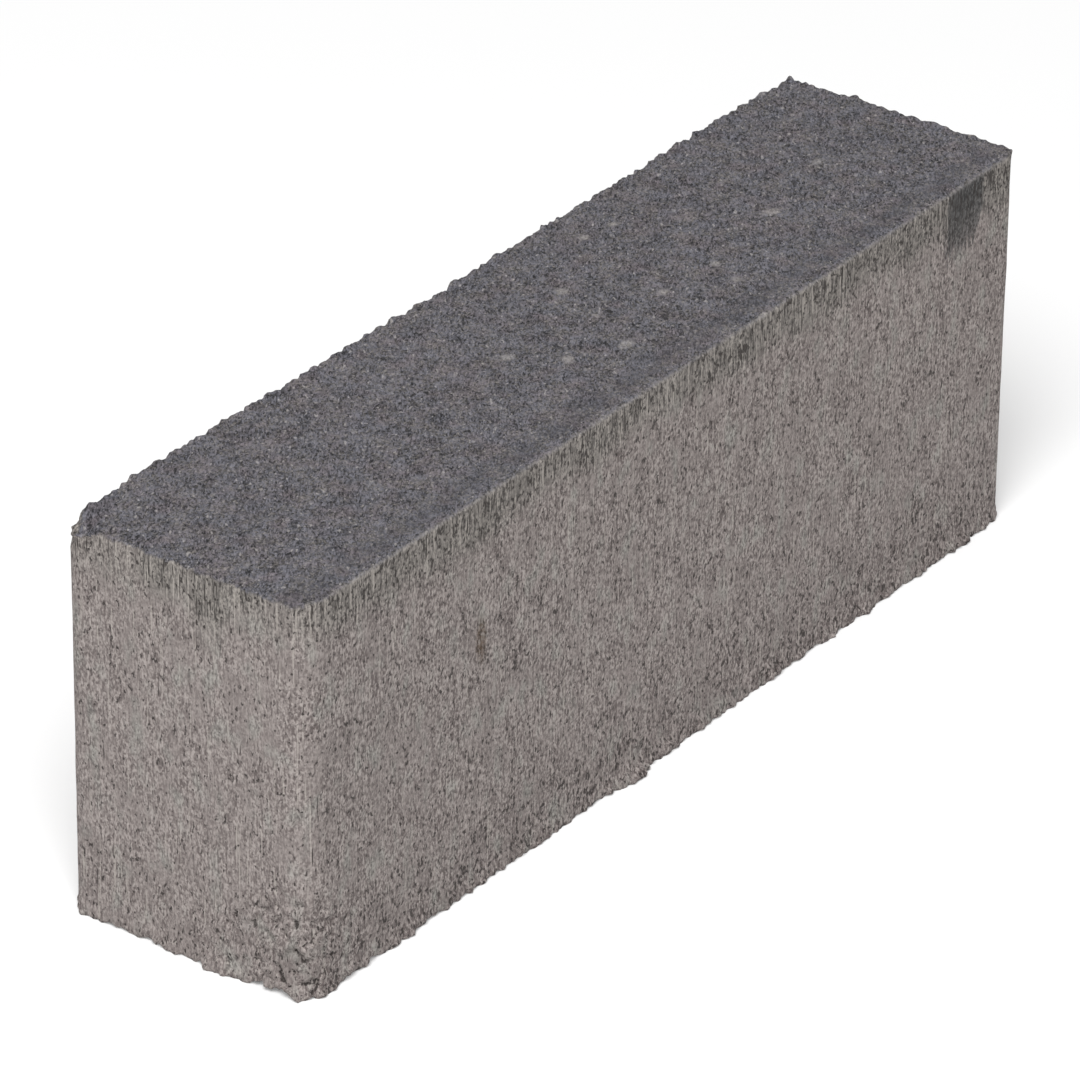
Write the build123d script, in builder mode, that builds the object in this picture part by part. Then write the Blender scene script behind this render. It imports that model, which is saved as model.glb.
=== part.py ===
"""Concrete paving stone of a slim upright format, pressed in one piece.

The stone stands on its bedding face with the wearing face up.
Length runs along X, width along Y and height along Z.
The origin is in the middle of the bedding face, and all sizes are in millimetres.
"""
from build123d import *

import os

# Block between its outer faces
stone_length = 200.0
stone_width = 48.0
stone_height = 72.0

# Upright corners, rounded by the steel mould, and the near front one, which has worn rounder
mould_corner_radius = 3.0
worn_corner_radius = 5.0

# Eased edge round the wearing face, and the edge that broke away round the bedding face
wearing_arris_radius = 0.5
bedding_arris_radius = 0.5

# Corner of the wearing face that has spalled off, measured from the sharp corner along its three edges
spall_along_length = 14.0
spall_along_width = 7.0
spall_down_corner = 3.5

# Plane of the spall, through the points where it meets those three edges
sharp_corner = Vector(-stone_length / 2, stone_width / 2, stone_height)
spall_on_length = sharp_corner + Vector(spall_along_length, 0, 0)
spall_on_width = sharp_corner - Vector(0, spall_along_width, 0)
spall_on_height = sharp_corner - Vector(0, 0, spall_down_corner)
spall_outward = (spall_on_width - spall_on_height).cross(spall_on_length - spall_on_height)
spall_plane = Plane(origin=spall_on_height, x_dir=spall_on_length - spall_on_height, z_dir=spall_outward)

# Direction across the footprint that sorts the worn corner first
from_near_front = Axis((0, 0, 0), (1, 1, 0))

# The stone: its footprint pressed to full height, the two rims eased, then the spall
with BuildPart() as paving_stone:
    with BuildSketch(Plane.XY) as footprint:
        Rectangle(stone_length, stone_width)
        fillet(vertices().sort_by(from_near_front)[1:], radius=mould_corner_radius)
        fillet(vertices().sort_by(from_near_front)[0], radius=worn_corner_radius)
    extrude(amount=stone_height)
    fillet(faces().sort_by(Axis.Z)[-1].edges(), radius=wearing_arris_radius)
    fillet(faces().sort_by(Axis.Z)[0].edges(), radius=bedding_arris_radius)
    split(bisect_by=spall_plane, keep=Keep.BOTTOM)

paving_stone.part.label = "paving_stone"

os.makedirs("parts", exist_ok=True)
export_step(paving_stone.part, "parts/paving_stone.step")
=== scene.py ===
"""Concrete paving stone on a pale studio floor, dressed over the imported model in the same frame.

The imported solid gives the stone's box. Its place is taken by one fine mesh with the relief that pressing,
stripping from the mould and handling leave on such a stone, in concrete that is drawn by nodes alone.
"""

import logging
import math
from dataclasses import dataclass
from enum import Enum

import bmesh
import bpy
from mathutils import Matrix, Vector, noise


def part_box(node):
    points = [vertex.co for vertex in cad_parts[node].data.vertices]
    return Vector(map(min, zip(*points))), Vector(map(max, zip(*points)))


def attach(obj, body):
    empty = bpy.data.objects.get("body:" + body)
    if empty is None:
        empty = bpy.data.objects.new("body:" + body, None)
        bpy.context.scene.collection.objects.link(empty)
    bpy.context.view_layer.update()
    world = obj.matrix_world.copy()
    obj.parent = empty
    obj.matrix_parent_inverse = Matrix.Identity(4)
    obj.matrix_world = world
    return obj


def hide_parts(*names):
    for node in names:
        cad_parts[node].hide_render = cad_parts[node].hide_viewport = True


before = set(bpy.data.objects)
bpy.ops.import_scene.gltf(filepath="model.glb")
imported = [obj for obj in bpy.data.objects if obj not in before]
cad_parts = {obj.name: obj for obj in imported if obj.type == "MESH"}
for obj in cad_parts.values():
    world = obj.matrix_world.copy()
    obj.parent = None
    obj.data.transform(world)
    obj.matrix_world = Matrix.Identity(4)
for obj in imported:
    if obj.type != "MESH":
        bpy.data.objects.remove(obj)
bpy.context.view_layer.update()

LOG = logging.getLogger("paving_stone")
MM = 0.001
STONE_NODE = "paving_stone"

Triple = tuple[float, float, float]
Tree = bpy.types.NodeTree
Socket = bpy.types.NodeSocket

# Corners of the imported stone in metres, and the planes of its six sides in millimetres
STONE_LOW, STONE_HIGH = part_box(STONE_NODE)
NEAR, FRONT, FOOT = STONE_LOW / MM
FAR, BACK, TOP = STONE_HIGH / MM

# Sockets of a Mix node for colours, by number, because its other kinds of socket have the same names
MIX_BY, MIX_FROM, MIX_TO, MIXED = 0, 6, 7, 2

# Middle of the values that a noise pattern takes
NOISE_MIDDLE = 0.5


class Mark(Enum):
    """Attributes of the stone's mesh that say where its surface changes.

    COVER and SMEAR are how many millimetres a point lies inside the dark facing and inside a dark smear.
    The others are shares from zero to one.
    """

    COVER = "facing_cover"
    SMEAR = "dark_smear"
    BAND = "streak_band"
    # open skin, darkened towards the foot with painted shade
    OPEN = "open_skin_and_foot_shade"
    # painted shade in the gaps between bare pebbles
    GAP_SHADE = "pebble_gap_shade"
    END = "mould_end"
    HOLLOW = "dark_hollow"
    # pale flecks, and a painted highlight along the front arris
    PALE_AND_HIGHLIGHT = "pale_fleck_and_arris_highlight"
    RUST = "rust_stain"
    POLISH = "ironed_strip"


Marks = dict[Mark, Socket]


def linear(hex_colour: str) -> tuple[float, float, float, float]:
    """Turns an sRGB hex colour into linear light.

    Args:
        hex_colour: six hex digits after a hash sign.

    Returns:
        Red, green, blue and an alpha of one.
    """
    shares = [int(hex_colour[i:i + 2], 16) / 255 for i in (1, 3, 5)]
    light = [s / 12.92 if s <= 0.04045 else ((s + 0.055) / 1.055) ** 2.4 for s in shares]
    return (*light, 1.0)


def smooth_step(low: float, high: float, value: float) -> float:
    """Eases from 0 at low to 1 at high; low may be the larger of the two."""
    share = min(max((value - low) / (high - low), 0.0), 1.0)
    return share * share * (3.0 - 2.0 * share)


def add_node(tree: Tree, kind: str, inputs: dict | None = None, **settings) -> bpy.types.Node:
    """Adds a node with its settings and links.

    Args:
        tree: the node tree that takes it.
        kind: Blender's name for the type of node.
        inputs: for each input's name or number, the socket to link or the value to set.
        settings: the node's own properties.

    Returns:
        The new node.
    """
    node = tree.nodes.new(kind)
    for name, value in settings.items():
        setattr(node, name, value)
    for name, value in (inputs or {}).items():
        if isinstance(value, Socket):
            tree.links.new(value, node.inputs[name])
        else:
            node.inputs[name].default_value = value
    return node


def in_pattern_sizes(tree: Tree, place: Socket, size_mm: Triple, turn: float) -> Socket:
    """Measures a place on the stone in the sizes of a pattern.

    Args:
        tree: the material's node tree.
        place: where on the stone, in metres.
        size_mm: the pattern's size along each axis, in millimetres.
        turn: how far the pattern is turned about the vertical, in degrees.

    Returns:
        The place as the pattern's texture reads it.
    """
    return add_node(tree, "ShaderNodeMapping", {
        "Vector": place, "Rotation": (0.0, 0.0, math.radians(turn)),
        "Scale": [size * MM for size in size_mm]}, vector_type="TEXTURE").outputs[0]


def shows_backdrop(tree: Tree) -> Socket:
    """Picks out the rays that show the backdrop, and not those that light the stone.

    Args:
        tree: the node tree of the floor's paint or of the surround.

    Returns:
        One for what the camera sees, straight or in gloss and glass, and zero for light.
    """
    path = add_node(tree, "ShaderNodeLightPath").outputs
    seen = add_node(tree, "ShaderNodeMath", {
        0: path["Is Camera Ray"], 1: path["Is Glossy Ray"]}, operation="MAXIMUM")
    return add_node(tree, "ShaderNodeMath", {
        0: seen.outputs[0], 1: path["Is Transmission Ray"]}, operation="MAXIMUM").outputs[0]


@dataclass(frozen=True)
class Speckle:
    """Cloudy pattern whose spots have a real size along each axis, in millimetres.

    layers is how many finer patterns break the spots up, rough the weight of each beside the last, and turn
    how far the spots are turned about the vertical, in degrees.
    """

    size_mm: Triple
    layers: float = 2.0
    rough: float = 0.5
    turn: float = 0.0

    def draw(self, tree: Tree, place: Socket) -> Socket:
        """Draws the pattern.

        Args:
            tree: the material's node tree.
            place: where on the stone, in metres.

        Returns:
            The pattern's value, about one half on average.
        """
        spots = in_pattern_sizes(tree, place, self.size_mm, self.turn)
        return add_node(tree, "ShaderNodeTexNoise", {
            "Vector": spots, "Scale": 1.0, "Detail": self.layers, "Roughness": self.rough}).outputs[0]


@dataclass(frozen=True)
class Flecks:
    """Irregular flecks where a speckle rises over a level, with a soft edge of the same unit."""

    speckle: Speckle
    level: float
    soft: float

    def draw(self, tree: Tree, place: Socket, more: Socket) -> Socket:
        """Draws the flecks.

        Args:
            tree: the material's node tree.
            place: where on the stone, in metres.
            more: lifts the speckle, so that there are more flecks where it is high.

        Returns:
            One inside a fleck and zero outside.
        """
        lifted = add_node(tree, "ShaderNodeMath", {
            0: self.speckle.draw(tree, place), 1: more}, operation="ADD")
        return add_node(tree, "ShaderNodeMapRange", {
            "Value": lifted.outputs[0], "From Min": self.level,
            "From Max": self.level + self.soft}).outputs[0]


@dataclass(frozen=True)
class Grains:
    """Packed sand grains of a real size in millimetres, each with its own tone, turned by turn degrees."""

    size_mm: Triple
    turn: float = 0.0

    def draw(self, tree: Tree, place: Socket) -> Socket:
        """Draws the grains.

        Args:
            tree: the material's node tree.
            place: where on the stone, in metres.

        Returns:
            Each grain's tone, from zero to one.
        """
        packed = in_pattern_sizes(tree, place, self.size_mm, self.turn)
        cells = add_node(tree, "ShaderNodeTexVoronoi", {"Vector": packed, "Scale": 1.0})
        return add_node(tree, "ShaderNodeSeparateColor", {"Color": cells.outputs["Color"]}).outputs[0]


@dataclass(frozen=True)
class Tones:
    """The darkest and the palest colour of one kind of skin."""

    dark: str
    pale: str

    def draw(self, tree: Tree, share: Socket) -> Socket:
        """Mixes the two by a share from zero to one."""
        return add_node(tree, "ShaderNodeMix", {
            MIX_BY: share, MIX_FROM: linear(self.dark), MIX_TO: linear(self.pale)},
            data_type="RGBA").outputs[MIXED]


@dataclass(frozen=True)
class Surface:
    """What one concrete mix hands on: its colour and the height of its relief in millimetres."""

    colour: Socket
    height: Socket


@dataclass(frozen=True)
class FacingMix:
    """Anthracite facing concrete of fine sand and black-pigmented cement, pressed flat by the ram.

    The eye sees a dark grey crust of sand grains, each with its own tone, with paler grit and small black
    pores. The grains are drawn longer along the photograph's line of sight, since real ones stand up and show
    their sides there.
    """

    neutral: Tones = Tones("#101014", "#717078")
    warm: Tones = Tones("#131014", "#777075")
    grit_tone: str = "#BAB5B3"
    pore: str = "#1A191B"
    sand: Speckle = Speckle((1.30, 0.60, 0.60), 2.0, 0.6, 36.0)
    grains: Grains = Grains((0.50, 0.24, 0.24), 36.0)
    grains_weight: float = 0.62
    cloud: Speckle = Speckle((2.6, 2.6, 2.6))
    cloud_weight: float = 0.62
    tone_low: float = 0.78
    tone_high: float = 1.50
    tint: Speckle = Speckle((3.5, 3.5, 3.5), 1.0)
    tint_low: float = 0.42
    tint_high: float = 0.72
    polish_closes: float = 0.1
    polish_most: float = 0.4
    polish_tone: float = 0.30
    grit: Flecks = Flecks(Speckle((1.30, 0.80, 0.80), 1.0, 0.5, 36.0), 0.67, 0.06)
    grit_most: float = 0.45
    stones: Flecks = Flecks(Speckle((2.4, 1.5, 1.5), 1.0, 0.5, 36.0), 0.68, 0.08)
    stones_most: float = 0.22
    pores: Flecks = Flecks(Speckle((1.1, 1.1, 1.1), 1.0), 0.705, 0.05)
    hollow_pores: float = 0.3
    sand_rise: float = 0.5
    pore_sink: float = 0.25

    def surface(self, tree: Tree, place: Socket, mark: Marks) -> Surface:
        """Draws the mix.

        Args:
            tree: the material's node tree.
            place: where on the stone, in metres.
            mark: the stone's marks.

        Returns:
            The colour and relief of the facing.
        """
        sand = self.sand.draw(tree, place)
        tone = sand
        for pattern, weight in ((self.grains, self.grains_weight), (self.cloud, self.cloud_weight)):
            tone = add_node(tree, "ShaderNodeMath", {
                0: pattern.draw(tree, place), 1: weight, 2: tone}, operation="MULTIPLY_ADD").outputs[0]
        share = add_node(tree, "ShaderNodeMapRange", {
            "Value": tone, "From Min": self.tone_low, "From Max": self.tone_high})
        smooth = add_node(tree, "ShaderNodeMath", {
            0: mark[Mark.POLISH], 1: self.polish_most}, operation="MULTIPLY").outputs[0]
        even = add_node(tree, "ShaderNodeMix", {
            "Factor": smooth, "A": share.outputs[0], "B": self.polish_tone}).outputs[0]
        brown = add_node(tree, "ShaderNodeMapRange", {
            "Value": self.tint.draw(tree, place), "From Min": self.tint_low, "From Max": self.tint_high})
        crust = add_node(tree, "ShaderNodeMix", {
            MIX_BY: brown.outputs[0], MIX_FROM: self.neutral.draw(tree, even),
            MIX_TO: self.warm.draw(tree, even)}, data_type="RGBA")
        closed = add_node(tree, "ShaderNodeMath", {
            0: smooth, 1: -self.polish_closes}, operation="MULTIPLY").outputs[0]
        grit = add_node(tree, "ShaderNodeMath", {
            0: self.grit.draw(tree, place, closed), 1: self.grit_most}, operation="MULTIPLY")
        pale = add_node(tree, "ShaderNodeMath", {
            0: self.stones.draw(tree, place, closed), 1: self.stones_most, 2: grit.outputs[0]},
            operation="MULTIPLY_ADD")
        gritty = add_node(tree, "ShaderNodeMix", {
            MIX_BY: pale.outputs[0], MIX_FROM: crust.outputs[MIXED], MIX_TO: linear(self.grit_tone)},
            data_type="RGBA")
        opened = add_node(tree, "ShaderNodeMath", {
            0: mark[Mark.HOLLOW], 1: self.hollow_pores, 2: closed}, operation="MULTIPLY_ADD")
        pores = self.pores.draw(tree, place, opened.outputs[0])
        dark = add_node(tree, "ShaderNodeMix", {
            MIX_BY: pores, MIX_FROM: gritty.outputs[MIXED], MIX_TO: linear(self.pore)}, data_type="RGBA")
        raised = add_node(tree, "ShaderNodeMath", {0: sand, 1: self.sand_rise}, operation="MULTIPLY")
        sunk = add_node(tree, "ShaderNodeMath", {
            0: pores, 1: -self.pore_sink, 2: raised.outputs[0]}, operation="MULTIPLY_ADD")
        return Surface(dark.outputs[MIXED], sunk.outputs[0])


@dataclass(frozen=True)
class BackingMix:
    """Warm grey backing concrete of river sand and grey cement, drawn out of a steel mould.

    The eye sees a beige-grey sandy skin with upright drag lines and small dark pits, and below the facing a
    band of greyer skin where the drag has opened many more of both.
    """

    drawn: Tones = Tones("#5F5654", "#ABA29E")
    band: Tones = Tones("#524E4B", "#9B958F")
    smear: Tones = Tones("#0E0E0F", "#5E5D5D")
    algae: Tones = Tones("#535652", "#9DA199")
    rub: str = "#B2ABA4"
    pit: str = "#2B2522"
    sand: Speckle = Speckle((0.46, 0.46, 0.90), 2.0, 0.6)
    grains: Grains = Grains((0.28, 0.28, 0.45))
    grains_weight: float = 0.30
    drag: Speckle = Speckle((0.42, 0.42, 6.0), 2.0, 0.6)
    drag_weight: float = 0.50
    cloud: Speckle = Speckle((4.0, 4.0, 7.0))
    cloud_weight: float = 0.22
    tone_low: float = 0.82
    tone_high: float = 1.235
    calm: Speckle = Speckle((4.5, 4.5, 8.0), 1.0)
    calm_low: float = 0.48
    calm_high: float = 0.66
    calm_most: float = 0.4
    calm_tone: float = 0.43
    end_calm: float = 0.15
    end_pits: float = -0.02
    # Painted shade: the skin is darker towards the foot and in the open patches there
    open_and_foot_shade_tone: float = -0.10
    bloom_low: float = 0.54
    bloom_high: float = 0.72
    bloom_most: float = 0.42
    pits: Flecks = Flecks(Speckle((0.58, 0.58, 0.95), 2.0), 0.615, 0.09)
    open_pits: float = 0.06
    band_pits: float = 0.05
    cloud_pits: float = -0.20
    hollow_pits: float = 0.18
    # painted shade: more dark pits in the gaps between bare pebbles
    gap_shade_pits: float = 0.22
    lines: Flecks = Flecks(Speckle((0.38, 0.38, 4.5), 1.0, 0.6), 0.72, 0.06)
    band_lines: float = 0.12
    rubs: Flecks = Flecks(Speckle((0.50, 0.50, 16.0), 1.0), 0.65, 0.06)
    band_rubs: float = 0.08
    rubs_most: float = 0.5
    smear_edge: Speckle = Speckle((0.6, 0.6, 2.4), 1.0, 0.6)
    smear_reach: float = 3.0
    smear_soft: float = 0.35
    smear_least: float = 0.65
    smear_most: float = 0.95
    smear_core: float = 2.5
    dark_most: float = 0.9
    skin_rise: float = 0.33
    pit_sink: float = 0.2

    def tone(self, tree: Tree, place: Socket, sand: Socket, cloud: Socket, mark: Marks) -> Socket:
        """Draws how pale the skin is, by sand, drag lines and soft clouds.

        Args:
            tree: the material's node tree.
            place: where on the stone, in metres.
            sand: the pattern of sand.
            cloud: the pattern of clouds.
            mark: the stone's marks.

        Returns:
            The share of the palest colour.
        """
        tone = sand
        for pattern, weight in ((self.grains.draw(tree, place), self.grains_weight),
                                (self.drag.draw(tree, place), self.drag_weight), (cloud, self.cloud_weight)):
            tone = add_node(tree, "ShaderNodeMath", {
                0: pattern, 1: weight, 2: tone}, operation="MULTIPLY_ADD").outputs[0]
        share = add_node(tree, "ShaderNodeMapRange", {
            "Value": tone, "From Min": self.tone_low, "From Max": self.tone_high})
        calm = add_node(tree, "ShaderNodeMapRange", {
            "Value": self.calm.draw(tree, place), "From Min": self.calm_low, "From Max": self.calm_high,
            "To Max": self.calm_most})
        even = add_node(tree, "ShaderNodeMath", {
            0: mark[Mark.END], 1: self.end_calm, 2: calm.outputs[0]}, operation="MULTIPLY_ADD")
        return add_node(tree, "ShaderNodeMix", {
            "Factor": even.outputs[0], "A": share.outputs[0], "B": self.calm_tone}).outputs[0]

    def body(self, tree: Tree, place: Socket, cloud: Socket, share: Socket, mark: Marks) -> Socket:
        """Colours the skin before its pits.

        Args:
            tree: the material's node tree.
            place: where on the stone, in metres.
            cloud: the pattern of clouds.
            share: how pale the skin is.
            mark: the stone's marks.

        Returns:
            The colour.
        """
        bloom = add_node(tree, "ShaderNodeMapRange", {
            "Value": cloud, "From Min": self.bloom_low, "From Max": self.bloom_high,
            "To Max": self.bloom_most})
        green = add_node(tree, "ShaderNodeMix", {
            MIX_BY: bloom.outputs[0], MIX_FROM: self.drawn.draw(tree, share),
            MIX_TO: self.algae.draw(tree, share)}, data_type="RGBA")
        banded = add_node(tree, "ShaderNodeMix", {
            MIX_BY: mark[Mark.BAND], MIX_FROM: green.outputs[MIXED], MIX_TO: self.band.draw(tree, share)},
            data_type="RGBA")
        rubbing = add_node(tree, "ShaderNodeMath", {
            0: mark[Mark.BAND], 1: self.band_rubs}, operation="MULTIPLY")
        rubs = add_node(tree, "ShaderNodeMath", {
            0: self.rubs.draw(tree, place, rubbing.outputs[0]), 1: self.rubs_most}, operation="MULTIPLY")
        rubbed = add_node(tree, "ShaderNodeMix", {
            MIX_BY: rubs.outputs[0], MIX_FROM: banded.outputs[MIXED], MIX_TO: linear(self.rub)},
            data_type="RGBA")
        ragged = add_node(tree, "ShaderNodeMath", {
            0: self.smear_edge.draw(tree, place), 1: NOISE_MIDDLE}, operation="SUBTRACT")
        inside = add_node(tree, "ShaderNodeMath", {
            0: ragged.outputs[0], 1: self.smear_reach, 2: mark[Mark.SMEAR]}, operation="MULTIPLY_ADD")
        within = add_node(tree, "ShaderNodeMapRange", {
            "Value": inside.outputs[0], "From Min": -self.smear_soft, "From Max": self.smear_soft})
        thick = add_node(tree, "ShaderNodeMapRange", {
            "Value": inside.outputs[0], "From Max": self.smear_core, "To Min": self.smear_least,
            "To Max": self.smear_most})
        smeared = add_node(tree, "ShaderNodeMath", {
            0: within.outputs[0], 1: thick.outputs[0]}, operation="MULTIPLY")
        return add_node(tree, "ShaderNodeMix", {
            MIX_BY: smeared.outputs[0], MIX_FROM: rubbed.outputs[MIXED],
            MIX_TO: self.smear.draw(tree, share)}, data_type="RGBA").outputs[MIXED]

    def surface(self, tree: Tree, place: Socket, mark: Marks) -> Surface:
        """Draws the mix.

        Args:
            tree: the material's node tree.
            place: where on the stone, in metres.
            mark: the stone's marks.

        Returns:
            The colour and relief of the drawn skin.
        """
        sand, cloud = self.sand.draw(tree, place), self.cloud.draw(tree, place)
        # Painted shade darkens the skin towards the foot
        share = add_node(tree, "ShaderNodeMath", {
            0: mark[Mark.OPEN], 1: self.open_and_foot_shade_tone, 2: self.tone(tree, place, sand, cloud, mark)},
            operation="MULTIPLY_ADD", use_clamp=True).outputs[0]
        patchy = add_node(tree, "ShaderNodeMath", {0: cloud, 1: NOISE_MIDDLE}, operation="SUBTRACT")
        more = add_node(tree, "ShaderNodeMath", {
            0: patchy.outputs[0], 1: self.cloud_pits}, operation="MULTIPLY").outputs[0]
        # Pits in the gaps between bare pebbles are painted shade
        for opens, weight in ((Mark.END, self.end_pits), (Mark.OPEN, self.open_pits),
                              (Mark.BAND, self.band_pits), (Mark.HOLLOW, self.hollow_pits),
                              (Mark.GAP_SHADE, self.gap_shade_pits)):
            more = add_node(tree, "ShaderNodeMath", {
                0: mark[opens], 1: weight, 2: more}, operation="MULTIPLY_ADD").outputs[0]
        streaked = add_node(tree, "ShaderNodeMath", {
            0: mark[Mark.BAND], 1: self.band_lines}, operation="MULTIPLY")
        gaps = add_node(tree, "ShaderNodeMath", {
            0: self.pits.draw(tree, place, more), 1: self.lines.draw(tree, place, streaked.outputs[0])},
            operation="MAXIMUM")
        deep = add_node(tree, "ShaderNodeMath", {
            0: gaps.outputs[0], 1: self.dark_most}, operation="MULTIPLY")
        pitted = add_node(tree, "ShaderNodeMix", {
            MIX_BY: deep.outputs[0], MIX_FROM: self.body(tree, place, cloud, share, mark),
            MIX_TO: linear(self.pit)}, data_type="RGBA")
        raised = add_node(tree, "ShaderNodeMath", {0: sand, 1: self.skin_rise}, operation="MULTIPLY")
        sunk = add_node(tree, "ShaderNodeMath", {
            0: gaps.outputs[0], 1: -self.pit_sink, 2: raised.outputs[0]}, operation="MULTIPLY_ADD")
        return Surface(pitted.outputs[MIXED], sunk.outputs[0])


@dataclass(frozen=True)
class PressedConcrete:
    """Finish of the whole stone: facing and backing mix in one block, dry and matt."""

    facing: FacingMix = FacingMix()
    backing: BackingMix = BackingMix()
    drip: Speckle = Speckle((0.7, 0.7, 4.0), 1.0, 0.6)
    drip_reach: float = 0.8
    cover_edge: float = 0.25
    quartz_and_highlight: str = "#A8A39F"
    chips: Speckle = Speckle((0.8, 0.5, 0.7), 1.0, 0.6, 36.0)
    chips_low: float = 0.35
    chips_high: float = 0.65
    chips_least: float = 0.35
    rust: str = "#5E4A38"
    roughness: float = 0.92
    ior: float = 1.5

    def material(self) -> bpy.types.Material:
        """Builds the material.

        Returns:
            Matt concrete that reads the stone's marks and object coordinates.
        """
        made = bpy.data.materials.new("pressed_concrete")
        made.use_nodes = True
        tree = made.node_tree
        tree.nodes.clear()
        place = add_node(tree, "ShaderNodeTexCoord").outputs["Object"]
        mark = {m: add_node(tree, "ShaderNodeAttribute", attribute_name=m.value).outputs["Fac"] for m in Mark}
        facing = self.facing.surface(tree, place, mark)
        backing = self.backing.surface(tree, place, mark)
        ragged = add_node(tree, "ShaderNodeMath", {
            0: self.drip.draw(tree, place), 1: NOISE_MIDDLE}, operation="SUBTRACT")
        edge = add_node(tree, "ShaderNodeMath", {
            0: ragged.outputs[0], 1: self.drip_reach, 2: mark[Mark.COVER]}, operation="MULTIPLY_ADD")
        cover = add_node(tree, "ShaderNodeMapRange", {
            "Value": edge.outputs[0], "From Min": -self.cover_edge, "From Max": self.cover_edge})
        colour = add_node(tree, "ShaderNodeMix", {
            MIX_BY: cover.outputs[0], MIX_FROM: backing.colour, MIX_TO: facing.colour}, data_type="RGBA")
        chipped = add_node(tree, "ShaderNodeMapRange", {
            "Value": self.chips.draw(tree, place), "From Min": self.chips_low, "From Max": self.chips_high,
            "To Min": self.chips_least})
        # Pale flecks with a painted highlight along the front arris, and rust stains, both broken up by chips
        for stain_and_highlight, tone in ((Mark.PALE_AND_HIGHLIGHT, self.quartz_and_highlight), (Mark.RUST, self.rust)):
            broken = add_node(tree, "ShaderNodeMath", {
                0: mark[stain_and_highlight], 1: chipped.outputs[0]}, operation="MULTIPLY")
            colour = add_node(tree, "ShaderNodeMix", {
                MIX_BY: broken.outputs[0], MIX_FROM: colour.outputs[MIXED], MIX_TO: linear(tone)},
                data_type="RGBA")
        height = add_node(tree, "ShaderNodeMix", {
            "Factor": cover.outputs[0], "A": backing.height, "B": facing.height})
        bump = add_node(tree, "ShaderNodeBump", {"Height": height.outputs[0], "Distance": MM})
        shader = add_node(tree, "ShaderNodeBsdfPrincipled", {
            "Base Color": colour.outputs[MIXED], "Normal": bump.outputs[0], "Roughness": self.roughness,
            "IOR": self.ior})
        add_node(tree, "ShaderNodeOutputMaterial", {"Surface": shader.outputs[0]})
        return made


@dataclass(frozen=True)
class Ripple:
    """Rolling relief with waves of a real length along each axis and a height, in millimetres."""

    length: Triple
    height: float

    def rise(self, place: Vector) -> float:
        """Height over the plain surface at a place in millimetres."""
        return self.height * noise.noise(Vector([p / s for p, s in zip(place, self.length)]))


def total_rise(ripples: tuple[Ripple, ...], place: Vector) -> float:
    """Adds up the heights of several ripples at a place in millimetres."""
    return sum(ripple.rise(place) for ripple in ripples)


@dataclass(frozen=True)
class Pebbles:
    """Bare round pebbles of a real size, with how far they stand out and how deep they curve, in millimetres.

    Painted shade darkens a gap from the first to the second of two distances from the nearest pebble's
    middle, in pebble sizes.
    """

    size: float
    top: float
    depth: float
    gap: tuple[float, float]

    def away(self, place: Vector) -> float:
        """Distance from the nearest pebble's middle at a place in millimetres, in pebble sizes."""
        return noise.voronoi(place / self.size)[0][0]

    def rise(self, place: Vector) -> float:
        """Height over the plain surface at a place in millimetres."""
        return self.top - self.depth * self.away(place) ** 2

    def gaps(self, place: Vector) -> float:
        """How much painted shade a place in millimetres takes: one in a gap and zero on a pebble."""
        return smooth_step(*self.gap, self.away(place))


@dataclass(frozen=True)
class Patch:
    """Soft ellipsoid of influence on the stone, with its centre and reach in millimetres and its strength."""

    centre: Triple
    reach: Triple
    strength: float = 1.0

    def share(self, place: Vector) -> float:
        """Influence at a place in millimetres: the strength at the centre, zero at the reach and beyond."""
        away = sum(((p - c) / r) ** 2 for p, c, r in zip(place, self.centre, self.reach))
        return self.strength * smooth_step(1.0, 0.0, away)


def total_share(patches: tuple[Patch, ...], place: Vector) -> float:
    """Adds up the influence of several patches at a place in millimetres."""
    return sum(patch.share(place) for patch in patches)


@dataclass(frozen=True)
class Pull:
    """Local move of the surface, as at a burr or a notch: where it acts and how far, in millimetres."""

    patch: Patch
    by: Triple


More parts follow.
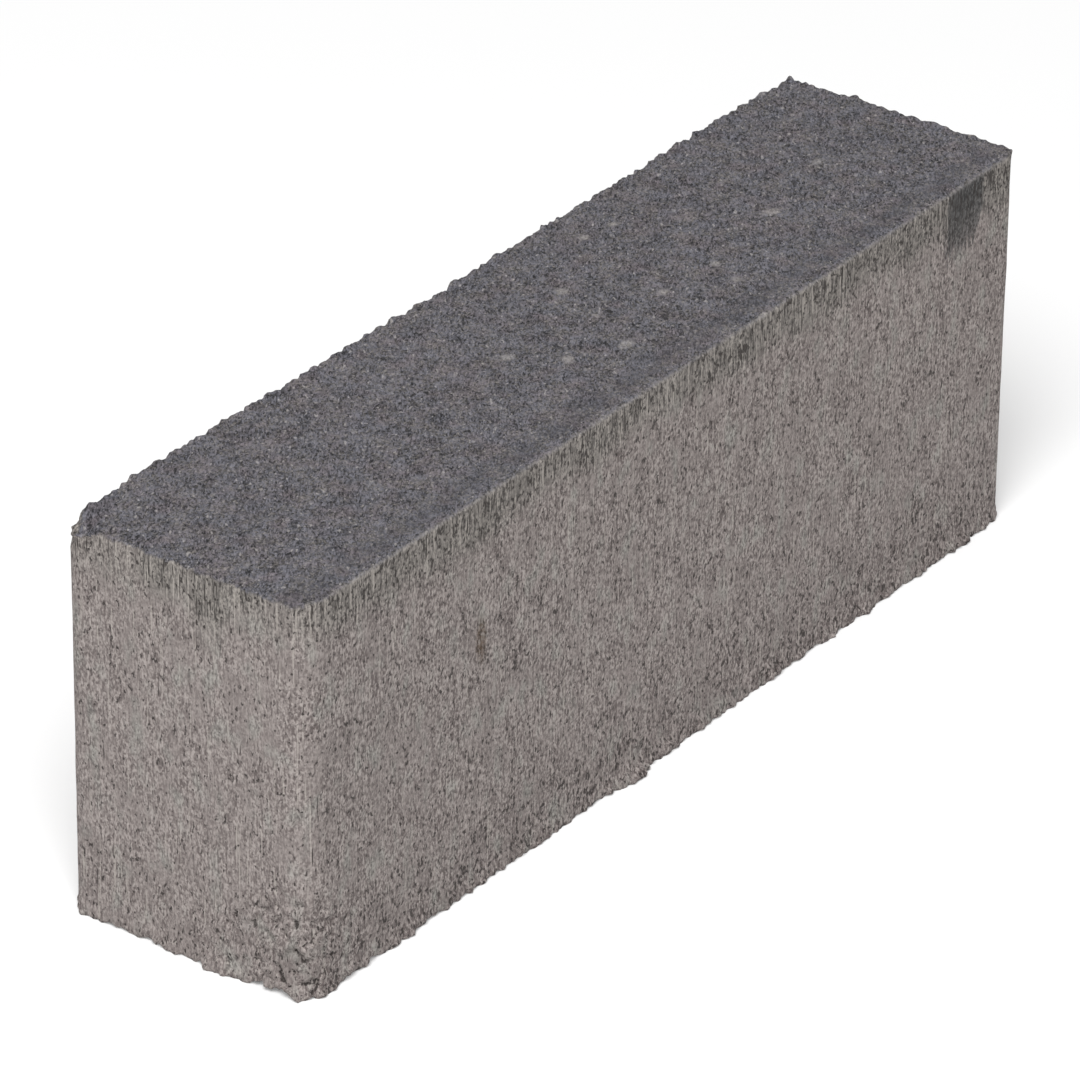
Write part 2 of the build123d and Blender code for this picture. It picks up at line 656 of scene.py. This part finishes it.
@dataclass(frozen=True)
class Blemishes:
    """Marks of making and handling where the photograph shows them, in millimetres in the stone's frame.

    Below smear_taper_share of its height the smear narrows from the right by smear_taper for each
    millimetre, and smear_fade is how crisp its left, right and lower edges are.
    """

    flecks: tuple[Patch, ...] = (
        Patch((28.0, 16.0, TOP), (1.28, 1.12, 1.12), 0.75), Patch((9.8, 7.5, TOP), (1.6, 1.44, 1.12), 0.65),
        Patch((34.7, 15.0, TOP), (1.52, 1.04, 1.12), 0.65),
        Patch((-14.5, 0.5, TOP), (1.76, 1.36, 1.12), 0.65),
        Patch((-9.0, -7.5, TOP), (1.28, 1.44, 1.12), 0.65),
        Patch((1.0, -12.0, TOP), (2.08, 1.28, 1.12), 0.65),
        Patch((20.0, -6.0, TOP), (1.28, 1.12, 1.12), 0.65), Patch((33.5, -7.0, TOP), (1.36, 1.2, 1.12), 0.60),
        Patch((31.0, -13.0, TOP), (1.44, 1.12, 1.12), 0.60), Patch((18.0, FRONT, 2.0), (1.8, 1.5, 1.8), 0.5),
        Patch((NEAR, 7.0, 24.5), (1.5, 1.5, 1.8), 0.4), Patch((NEAR, -4.0, 31.0), (1.5, 1.4, 1.4), 0.4),
        Patch((NEAR, -12.0, 11.0), (1.5, 2.0, 2.4), 0.4), Patch((90.1, FRONT, 66.0), (0.6, 2.0, 6.5), 0.45),
        Patch((75.4, 0.9, TOP), (1.6, 1.3, 1.12), 0.60), Patch((55.0, -3.6, TOP), (2.0, 1.5, 1.12), 0.60),
        Patch((23.3, FRONT, 72.2), (1.8, 0.9, 0.9), 0.9))
    rust: tuple[Patch, ...] = (Patch((-54.5, FRONT, 46.0), (1.8, 1.0, 5.5), 0.75),)
    hollows: tuple[Patch, ...] = (
        Patch((8.7, -3.0, TOP), (0.9, 0.9, 1.0)), Patch((-22.0, FRONT, 15.0), (1.2, 1.0, 2.2), 0.6),
        Patch((17.5, FRONT, 67.8), (2.4, 1.0, 1.8)), Patch((8.1, FRONT, 66.5), (1.4, 1.0, 1.2)),
        Patch((5.4, FRONT, 71.3), (1.4, 1.0, 1.0)), Patch((30.7, FRONT, 71.4), (1.2, 1.0, 1.2)),
        Patch((-54.5, FRONT, 46.5), (2.0, 1.0, 6.0), 0.8), Patch((-98.5, FRONT, 37.0), (1.5, 1.5, 0.8), 0.5))
    # Open skin near the foot, darkened there with painted shade as well
    open_skin_and_foot_shade: tuple[Patch, ...] = (
        Patch((71.0, FRONT, 13.5), (3.5, 3.0, 6.0)), Patch((NEAR, 16.0, 11.0), (4.0, 8.0, 8.0), 0.2),
        Patch((NEAR, -18.0, 9.0), (14.0, 12.0, 16.0), 0.2))
    streaks: tuple[Patch, ...] = (
        Patch((-58.0, FRONT, 68.0), (9.0, 2.0, 8.0), 0.3), Patch((-24.0, FRONT, 69.0), (3.0, 2.0, 7.0), 0.3),
        Patch((17.0, FRONT, 68.0), (6.0, 2.0, 7.0), 0.3), Patch((34.0, FRONT, 68.0), (5.0, 2.0, 8.0), 0.3),
        Patch((46.0, FRONT, 67.0), (6.0, 2.0, 10.0), 0.35), Patch((68.0, FRONT, 68.0), (6.0, 2.0, 8.0), 0.3),
        Patch((95.0, FRONT, 66.0), (5.0, 3.0, 12.0), 0.4), Patch((NEAR, -12.0, 71.0), (3.0, 5.0, 3.0), 0.6),
        Patch((NEAR, 4.0, 69.0), (3.0, 6.0, 6.0), 0.5), Patch((NEAR, -5.0, 66.0), (3.0, 5.0, 11.0), 0.6))
    bare: tuple[Patch, ...] = (
        Patch((-99.0, -20.0, 9.0), (11.0, 13.0, 15.0)), Patch((NEAR, -6.0, 9.0), (3.0, 7.0, 9.0), 0.45))
    pulls: tuple[Pull, ...] = (
        Pull(Patch((FAR, FRONT, TOP), (2.0, 2.0, 3.0)), (0.2, -0.2, 0.25)),
        Pull(Patch((99.4, -23.4, TOP), (0.9, 0.9, 1.2)), (0.1, -0.1, 0.5)),
        Pull(Patch((99.0, 23.0, TOP), (0.9, 0.9, 1.2)), (0.2, 0.2, 0.8)),
        Pull(Patch((-93.8, 23.5, 70.1), (3.0, 2.5, 2.0)), (-0.2, 0.3, 1.2)),
        Pull(Patch((-97.0, 23.4, 69.2), (1.6, 1.8, 1.4)), (0.0, 0.1, 0.5)),
        Pull(Patch((-99.3, 23.0, 68.6), (2.0, 2.0, 1.6)), (0.6, -0.3, 0.2)),
        Pull(Patch((99.5, 10.0, TOP), (1.4, 1.0, 1.4)), (0.2, 0.0, 0.4)),
        Pull(Patch((-5.0, BACK, TOP), (11.0, 2.5, 2.5)), (0.0, -0.2, -0.4)),
        Pull(Patch((12.0, BACK, TOP), (3.0, 2.0, 2.5)), (0.0, 0.0, 0.35)),
        Pull(Patch((NEAR, -16.0, FOOT), (2.5, 5.5, 3.0)), (0.2, 0.0, 0.55)),
        Pull(Patch((NEAR, 7.0, FOOT), (2.5, 3.0, 3.0)), (0.1, 0.0, 0.45)),
        Pull(Patch((NEAR, -6.0, FOOT), (2.5, 4.5, 3.0)), (-0.8, 0.0, 0.0)),
        Pull(Patch((-86.0, FRONT, FOOT), (6.0, 2.5, 3.0)), (0.0, 0.1, 0.55)),
        Pull(Patch((-13.0, FRONT, FOOT), (5.5, 2.5, 3.0)), (0.0, -0.9, 0.0)),
        Pull(Patch((87.0, FRONT, FOOT), (2.5, 2.0, 2.5)), (0.0, -0.5, 0.0)))
    smear: Patch = Patch((83.75, FRONT, TOP), (5.75, 3.0, 12.0))
    smear_taper: float = 0.4
    smear_taper_share: float = 0.5
    smear_fade: Triple = (1.0, 1.8, 0.3)


@dataclass
class PavingStone:
    """The pressed stone as one closed mesh.

    The sizes of the block and its cells are in metres, those of its relief and marks in millimetres.
    """

    low: Vector
    high: Vector

    # Rounds of the block, and the corner of the wearing face that has spalled off
    corner_radius: float = 3.0 * MM
    worn_radius: float = 5.0 * MM
    corner_segments: int = 6
    wearing_arris: float = 0.5 * MM
    bedding_arris: float = 0.5 * MM
    arris_segments: int = 2
    spall_along_length: float = 14.0 * MM
    spall_along_width: float = 7.0 * MM
    spall_down_corner: float = 3.5 * MM

    # Cells of the mesh, finer by the rims, on the sides in sight, and finest where relief or a mark is sharp
    cell: float = 3.6 * MM
    cell_corners: int = 4
    rim_cuts: tuple[float, ...] = (0.8 * MM, 1.6 * MM, 2.4 * MM, 3.2 * MM, 4.1 * MM, 5.0 * MM)
    seen_cells: tuple[float, ...] = (1.8 * MM, 0.9 * MM)
    fine_cell: float = 0.45 * MM
    fine_top: float = 1.5 * MM
    fine_foot: float = 2.5 * MM
    long_edge_share: float = 1.4
    weld: float = 0.1 * MM
    sliver: float = 0.01 * MM

    # How far a normal turns up to count as the pressed face, and along an axis as the end or another side
    pressed_turn: tuple[float, float] = (0.3, 0.8)
    end_turn: tuple[float, float] = (0.4, 0.9)
    side_turn: float = 0.5
    spall_touch: float = 0.01

    # Relief of the pressed face, the drawn sides, the spalled corner and the bare pebbles
    crust: tuple[Ripple, ...] = (
        Ripple((0.95, 0.95, 0.95), 0.28), Ripple((2.3, 2.3, 2.3), 0.16), Ripple((6.0, 6.0, 6.0), 0.10),
        Ripple((28.0, 28.0, 28.0), 0.15))
    skin: tuple[Ripple, ...] = (
        Ripple((2.0, 2.0, 12.0), 0.04), Ripple((3.0, 3.0, 4.0), 0.05), Ripple((20.0, 20.0, 20.0), 0.08))
    broken: tuple[Ripple, ...] = (Ripple((1.3, 1.3, 1.3), 0.4), Ripple((3.5, 3.5, 3.5), 0.9))
    pebbles: Pebbles = Pebbles(1.65, 0.3, 1.7, (0.62, 1.0))
    arris_reach: float = 4.0
    arris_calm: float = 0.75

    # Ragged upper rims at the back and the far end
    back_rim: tuple[Ripple, ...] = (
        Ripple((1.1, 1.1, 1.1), 0.52), Ripple((2.6, 2.6, 2.6), 0.48), Ripple((7.0, 7.0, 7.0), 0.35))
    far_rim: tuple[Ripple, ...] = (
        Ripple((1.1, 1.1, 1.1), 0.45), Ripple((2.6, 2.6, 2.6), 0.10), Ripple((7.0, 7.0, 7.0), 0.05))
    rim_lift: float = 0.1
    rim_reach: float = 1.6
    rim_depth: float = 2.0

    # Chewed hem along the lower edges
    hem: tuple[Ripple, ...] = (
        Ripple((1.0, 1.0, 1.0), 0.45), Ripple((2.4, 2.4, 2.4), 0.5), Ripple((7.0, 7.0, 7.0), 0.4))
    hem_lift: float = 0.05
    hem_reach: float = 4.0
    hem_inward: float = 0.4
    hem_flare: float = 0.3
    hem_bulge: float = 1.5

    # How far the dark facing wraps down over the sides, the ends and the spalled corner
    side_wrap: float = 0.2
    side_waves: tuple[Ripple, ...] = (Ripple((4.0, 4.0, 4.0), 0.15),)
    end_wrap: float = 0.35
    end_waves: tuple[Ripple, ...] = (Ripple((3.5, 3.5, 3.5), 0.6), Ripple((1.3, 1.3, 1.3), 0.4))
    spall_wrap: float = 2.2
    spall_waves: tuple[Ripple, ...] = (Ripple((2.0, 2.0, 2.0), 1.0),)

    # Streaked band below the facing, open skin by the foot darkened with painted shade, a painted highlight
    # along the front arris and the strip ironed behind it
    band_depth: float = 10.5
    band_waves: tuple[Ripple, ...] = (Ripple((7.0, 7.0, 7.0), 3.0), Ripple((2.0, 2.0, 2.0), 2.0))
    band_core: float = 0.3
    band_most: float = 0.95
    band_end: float = 0.6
    open_and_shade_depth: tuple[float, float] = (52.0, 72.0)
    open_and_shade_most: float = 0.9
    open_and_shade_end: float = 0.4
    arris_highlight_edge: tuple[float, float] = (0.6, 0.2)
    arris_painted_highlight: float = 0.45
    polish_reach: tuple[float, float] = (8.0, 3.5)
    polish_rim: tuple[float, float] = (0.8, 3.5)
    blemishes: Blemishes = Blemishes()

    def block(self) -> bmesh.types.BMesh:
        """Makes the block with its upright corners and both rims rounded.

        Returns:
            A closed mesh of a few large faces.
        """
        size, middle = self.high - self.low, (self.low + self.high) / 2
        mesh = bmesh.new()
        bmesh.ops.create_cube(mesh, size=1.0)
        bmesh.ops.transform(
            mesh, matrix=Matrix.Translation(middle) @ Matrix.Diagonal((*size, 1.0)), verts=mesh.verts)
        upright = [e for e in mesh.edges if abs(e.verts[0].co.z - e.verts[1].co.z) > size.z / 2]
        upright.sort(key=lambda e: e.verts[0].co.x + e.verts[0].co.y)
        self.round_edges(mesh, upright[1:], self.corner_radius, self.corner_segments)
        worn = [e for e in mesh.edges if all((v.co.xy - self.low.xy).length < self.weld for v in e.verts)]
        self.round_edges(mesh, worn, self.worn_radius, self.corner_segments)
        for level, radius in ((self.high.z, self.wearing_arris), (self.low.z, self.bedding_arris)):
            rim = [e for e in mesh.edges if all(abs(v.co.z - level) < self.weld for v in e.verts)]
            self.round_edges(mesh, rim, radius, self.arris_segments)
        return mesh

    def round_edges(self, mesh: bmesh.types.BMesh, edges: list, radius: float, segments: int) -> None:
        """Rounds edges of the block.

        Args:
            mesh: the block.
            edges: the edges to round.
            radius: the round's radius.
            segments: how many faces make the round.
        """
        bmesh.ops.bevel(mesh, geom=edges, offset=radius, offset_type="OFFSET", segments=segments,
                        profile=0.5, affect="EDGES", material=-1)

    def spall_plane(self) -> tuple[Vector, Vector]:
        """Gives the plane of the spalled corner.

        Returns:
            A point on it and its outward normal.
        """
        corner = Vector((self.low.x, self.high.y, self.high.z))
        outward = Vector((
            -1 / self.spall_along_length, 1 / self.spall_along_width, 1 / self.spall_down_corner))
        return corner - Vector((0, 0, self.spall_down_corner)), outward.normalized()

    def break_corner(self, mesh: bmesh.types.BMesh) -> None:
        """Cuts the spalled corner off the block and closes the cut.

        Args:
            mesh: the block.
        """
        point, outward = self.spall_plane()
        cut = bmesh.ops.bisect_plane(
            mesh, geom=mesh.verts[:] + mesh.edges[:] + mesh.faces[:], plane_co=point, plane_no=outward,
            clear_outer=True)
        rim = [part for part in cut["geom_cut"] if isinstance(part, bmesh.types.BMEdge)]
        bmesh.ops.contextual_create(mesh, geom=rim)

    def stations(self, low: float, high: float) -> list[float]:
        """Places the cuts between two opposite faces, closer together by the rims.

        Args:
            low: the lower face's place on the axis.
            high: the upper face's place.

        Returns:
            The places in rising order.
        """
        start, end = low + self.rim_cuts[-1], high - self.rim_cuts[-1]
        count = math.ceil((end - start) / self.cell)
        field = [start + (end - start) * step / count for step in range(1, count)]
        return [low + cut for cut in self.rim_cuts] + field + [high - cut for cut in reversed(self.rim_cuts)]

    def seen(self, place: Vector) -> bool:
        """Tells whether a point lies on a side that the photograph shows, or round its corners."""
        edge = self.corner_radius
        return place.z > self.high.z - edge or place.y < self.low.y + edge or place.x < self.low.x + edge

    def fine(self, place: Vector) -> bool:
        """Tells whether a point needs the finest cells.

        Args:
            place: the point, in metres.

        Returns:
            True on the wearing face, at the foot of the sides in sight, on bare pebbles and at the smear.
        """
        if place.z > self.high.z - self.fine_top:
            return True
        shown = place.x < self.low.x + self.corner_radius or place.y < self.low.y + self.corner_radius
        if shown and self.low.z < place.z < self.low.z + self.fine_foot:
            return True
        return total_share((*self.blemishes.bare, self.blemishes.smear), place / MM) > 0.0

    def divide(self, mesh: bmesh.types.BMesh) -> None:
        """Cuts every face into cells fine enough for the relief, finer on the sides in sight.

        Args:
            mesh: the block.
        """
        for axis in range(3):
            normal = Vector([float(axis == other) for other in range(3)])
            for station in self.stations(self.low[axis], self.high[axis]):
                bmesh.ops.bisect_plane(
                    mesh, geom=mesh.verts[:] + mesh.edges[:] + mesh.faces[:], plane_co=normal * station,
                    plane_no=normal)
        bmesh.ops.remove_doubles(mesh, verts=mesh.verts, dist=self.weld)
        for cell, wanted in [(cell, self.seen) for cell in self.seen_cells] + [(self.fine_cell, self.fine)]:
            longest = self.long_edge_share * cell
            long = [e for e in mesh.edges
                    if e.calc_length() > longest and wanted((e.verts[0].co + e.verts[1].co) / 2)]
            bmesh.ops.subdivide_edges(mesh, edges=long, cuts=1, use_grid_fill=True)
        bmesh.ops.dissolve_degenerate(mesh, edges=mesh.edges, dist=self.sliver)
        bmesh.ops.triangulate(mesh, faces=[f for f in mesh.faces if len(f.verts) > self.cell_corners])

    def on_spall(self, place: Vector) -> bool:
        """Tells whether a point in millimetres lies on the broken corner."""
        point, outward = self.spall_plane()
        return abs((place - point / MM).dot(outward)) < self.spall_touch

    def relief(self, place: Vector, normal: Vector) -> Vector:
        """Works out how far a point of the plain block moves.

        Args:
            place: the point, in millimetres.
            normal: the block's outward normal there.

        Returns:
            The move in millimetres.
        """
        low, high = self.low / MM, self.high / MM
        pressed = smooth_step(*self.pressed_turn, normal.z)
        calm = self.arris_calm * smooth_step(self.arris_reach, 0.0, place.y - low.y)
        out = pressed * (1.0 - calm) * total_rise(self.crust, place)
        out += (1.0 - pressed) * total_rise(self.skin, place)
        if self.on_spall(place):
            out += total_rise(self.broken, place)
        bare = total_share(self.blemishes.bare, place)
        if bare > 0.0:
            out += bare * self.pebbles.rise(place)
        upper = smooth_step(self.rim_depth, 0.0, high.z - place.z)
        for rim, inward in ((self.back_rim, high.y - place.y), (self.far_rim, high.x - place.x)):
            ragged = self.rim_lift + total_rise(rim, place)
            out += upper * smooth_step(self.rim_reach, 0.0, inward) * ragged
        inset = min(high.x - abs(place.x), high.y - abs(place.y))
        foot = smooth_step(self.hem_reach, 0.0, place.z) * smooth_step(self.hem_reach, 0.0, inset)
        chewed = total_rise(self.hem, place)
        lift = foot * max(self.hem_lift + chewed, 0.0)
        out += foot * (self.hem_flare + self.hem_bulge * max(-chewed, 0.0)) - self.hem_inward * lift
        move = normal * out + Vector((0.0, 0.0, lift))
        for pull in self.blemishes.pulls:
            move += pull.patch.share(place) * Vector(pull.by)
        move.z = max(move.z, -place.z)
        return move

    def covered(self, place: Vector, normal: Vector) -> float:
        """Works out how far a point lies inside the dark facing.

        Args:
            place: a point of the plain block, in millimetres.
            normal: the block's outward normal there.

        Returns:
            The distance in millimetres, below zero outside.
        """
        depth = self.high.z / MM - place.z
        if self.on_spall(place):
            return self.spall_wrap + total_rise(self.spall_waves, place) - depth
        along = Vector((place.x, place.y, 0.0))
        side = self.side_wrap + total_rise(self.side_waves, along)
        end = self.end_wrap + total_rise(self.end_waves, along)
        return side + (end - side) * smooth_step(*self.end_turn, abs(normal.x)) - depth

    def smeared(self, place: Vector, normal: Vector) -> float:
        """Works out how far a point lies inside the dark smear on the front.

        Args:
            place: a point of the plain block, in millimetres.
            normal: the block's outward normal there.

        Returns:
            The distance in millimetres times how crisp the nearest edge is, below zero outside.
        """
        seen = self.blemishes
        (half, _, height), (left, right, foot) = seen.smear.reach, seen.smear_fade
        if normal.y > -self.side_turn:
            return -height
        across, depth = place.x - seen.smear.centre[0], seen.smear.centre[2] - place.z
        narrow = seen.smear_taper * max(depth - seen.smear_taper_share * height, 0.0)
        return min(left * (half + across), right * (half - narrow - across), foot * (height - depth))

    def marks(self, place: Vector, normal: Vector) -> dict[Mark, float]:
        """Works out where the surface changes.

        Args:
            place: a point of the plain block, in millimetres.
            normal: the block's outward normal there.

        Returns:
            Each mark's value.
        """
        seen, end = self.blemishes, abs(normal.x)
        depth, inward = self.high.z / MM - place.z, place.y - self.low.y / MM
        fade = self.band_depth + total_rise(self.band_waves, Vector((place.x, place.y, 0.0)))
        streaked = self.band_most + (self.band_end - self.band_most) * end
        band = streaked * smooth_step(fade, self.band_core * fade, depth) + total_share(seen.streaks, place)
        # Open skin and painted shade, both rising towards the foot
        opening = self.open_and_shade_most + (self.open_and_shade_end - self.open_and_shade_most) * end
        skin = opening * smooth_step(*self.open_and_shade_depth, depth) + total_share(seen.open_skin_and_foot_shade, place)
        bare = min(total_share(seen.bare, place), 1.0)
        # Painted highlight along the front arris, where the wearing face turns down into the front
        arris = self.arris_painted_highlight * smooth_step(*self.arris_highlight_edge, inward + depth)
        polish = smooth_step(*self.polish_reach, inward) * smooth_step(*self.polish_rim, inward)
        return {
            Mark.COVER: self.covered(place, normal),
            Mark.SMEAR: self.smeared(place, normal),
            Mark.BAND: min(band, 1.0),
            Mark.OPEN: min(skin, 1.0),
            # painted shade in the gaps between bare pebbles
            Mark.GAP_SHADE: bare * self.pebbles.gaps(place) if bare > 0.0 else 0.0,
            Mark.END: end,
            Mark.HOLLOW: min(total_share(seen.hollows, place), 1.0),
            Mark.PALE_AND_HIGHLIGHT: min(arris + total_share(seen.flecks, place), 1.0),
            Mark.RUST: total_share(seen.rust, place),
            Mark.POLISH: polish if normal.z > self.side_turn else 0.0}

    def build(self) -> bpy.types.Object:
        """Makes the stone and dresses it.

        Returns:
            The finished piece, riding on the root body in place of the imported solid.
        """
        mesh = self.block()
        self.break_corner(mesh)
        self.divide(mesh)
        mesh.normal_update()
        layers = {m: mesh.verts.layers.float.new(m.value) for m in Mark}
        moves = []
        for vert in mesh.verts:
            place = vert.co / MM
            for m, value in self.marks(place, vert.normal).items():
                vert[layers[m]] = value
            moves.append(self.relief(place, vert.normal) * MM)
        for vert, move in zip(mesh.verts, moves):
            vert.co += move
        for face in mesh.faces:
            face.smooth = True
        data = bpy.data.meshes.new("concrete_stone")
        mesh.to_mesh(data)
        mesh.free()
        data.materials.append(PressedConcrete().material())
        piece = bpy.data.objects.new("concrete_stone", data)
        bpy.context.scene.collection.objects.link(piece)
        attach(piece, "root")
        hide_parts(STONE_NODE)
        return piece


@dataclass(frozen=True)
class PaintedFloor:
    """Finish of the studio floor: matt white paint, lifted to white where the camera sees it unshaded."""

    paint: str = "#E6E6E6"
    lift: float = 0.2

    def material(self) -> bpy.types.Material:
        """Builds the material.

        Returns:
            White paint that keeps the stone's shadow.
        """
        made = bpy.data.materials.new("matt_white_floor_paint")
        made.use_nodes = True
        tree = made.node_tree
        tree.nodes.clear()
        lift = add_node(tree, "ShaderNodeMath", {
            0: shows_backdrop(tree), 1: self.lift}, operation="MULTIPLY")
        glow = add_node(tree, "ShaderNodeEmission", {"Strength": lift.outputs[0]})
        paint = add_node(tree, "ShaderNodeBsdfDiffuse", {"Color": linear(self.paint)})
        both = add_node(tree, "ShaderNodeAddShader", {0: paint.outputs[0], 1: glow.outputs[0]})
        add_node(tree, "ShaderNodeOutputMaterial", {"Surface": both.outputs[0]})
        return made


@dataclass
class Studio:
    """Pale floor, soft light and the camera, in metres and degrees in the stone's frame."""

    floor_half: float = 4.0
    sky: float = 0.45
    backdrop: float = 1.0
    key_power: float = 60.0
    key_size: float = 1.4
    key_place: Triple = (-1.225, -0.69, 2.0)
    aim: Triple = (-0.003508, 0.001659, 0.032681)
    distance: float = 1.218626
    azimuth: float = -54.077
    elevation: float = 29.366
    roll: float = 0.678
    lens: float = 243.88
    sensor: float = 36.0
    sight: float = 16.0

    def floor(self) -> bpy.types.Object:
        """Makes the floor.

        Returns:
            The floor.
        """
        mesh = bmesh.new()
        bmesh.ops.create_grid(mesh, x_segments=1, y_segments=1, size=self.floor_half)
        data = bpy.data.meshes.new("studio_floor")
        mesh.to_mesh(data)
        mesh.free()
        data.materials.append(PaintedFloor().material())
        floor = bpy.data.objects.new("studio_floor", data)
        bpy.context.scene.collection.objects.link(floor)
        return floor

    def light(self) -> None:
        """Sets a soft key lamp over the near corner and an even white surround."""
        lamp = bpy.data.lights.new("soft_key", "AREA")
        lamp.energy = self.key_power
        lamp.shape = "DISK"
        lamp.size = self.key_size
        key = bpy.data.objects.new("soft_key", lamp)
        key.location = self.key_place
        key.rotation_euler = (-Vector(self.key_place)).to_track_quat("-Z", "Y").to_euler()
        bpy.context.scene.collection.objects.link(key)
        world = bpy.data.worlds.new("white_surround")
        world.use_nodes = True
        tree = world.node_tree
        tree.nodes.clear()
        level = add_node(tree, "ShaderNodeMapRange", {
            "Value": shows_backdrop(tree), "To Min": self.sky, "To Max": self.backdrop})
        glow = add_node(tree, "ShaderNodeBackground", {"Strength": level.outputs[0]})
        add_node(tree, "ShaderNodeOutputWorld", {"Surface": glow.outputs[0]})
        bpy.context.scene.world = world

    def camera(self) -> bpy.types.Object:
        """Sets the camera at the photograph's viewing angle.

        Returns:
            The scene's camera.
        """
        turn, tilt = math.radians(self.azimuth), math.radians(self.elevation)
        back = Vector((math.sin(turn) * math.cos(tilt), -math.cos(turn) * math.cos(tilt), math.sin(tilt)))
        lens = bpy.data.cameras.new("photo_camera")
        lens.lens = self.lens
        lens.sensor_width = self.sensor
        lens.clip_end = self.sight
        camera = bpy.data.objects.new("photo_camera", lens)
        level = (-back).to_track_quat("-Z", "Y").to_matrix()
        camera.rotation_euler = (level @ Matrix.Rotation(math.radians(self.roll), 3, "Z")).to_euler()
        camera.location = Vector(self.aim) + back * self.distance
        bpy.context.scene.collection.objects.link(camera)
        bpy.context.scene.camera = camera
        return camera


def main() -> None:
    """Builds the stone and the studio and reports each piece."""
    logging.basicConfig(level=logging.INFO, format="%(name)s: %(message)s")
    bpy.context.scene.view_settings.view_transform = "Standard"
    stone = PavingStone(STONE_LOW, STONE_HIGH).build()
    LOG.info("%s: %d vertices, %d faces", stone.name, len(stone.data.vertices), len(stone.data.polygons))
    studio = Studio()
    LOG.info("%s", studio.floor().name)
    studio.light()
    LOG.info("%s", studio.camera().name)


if __name__ == "__main__":
    main()
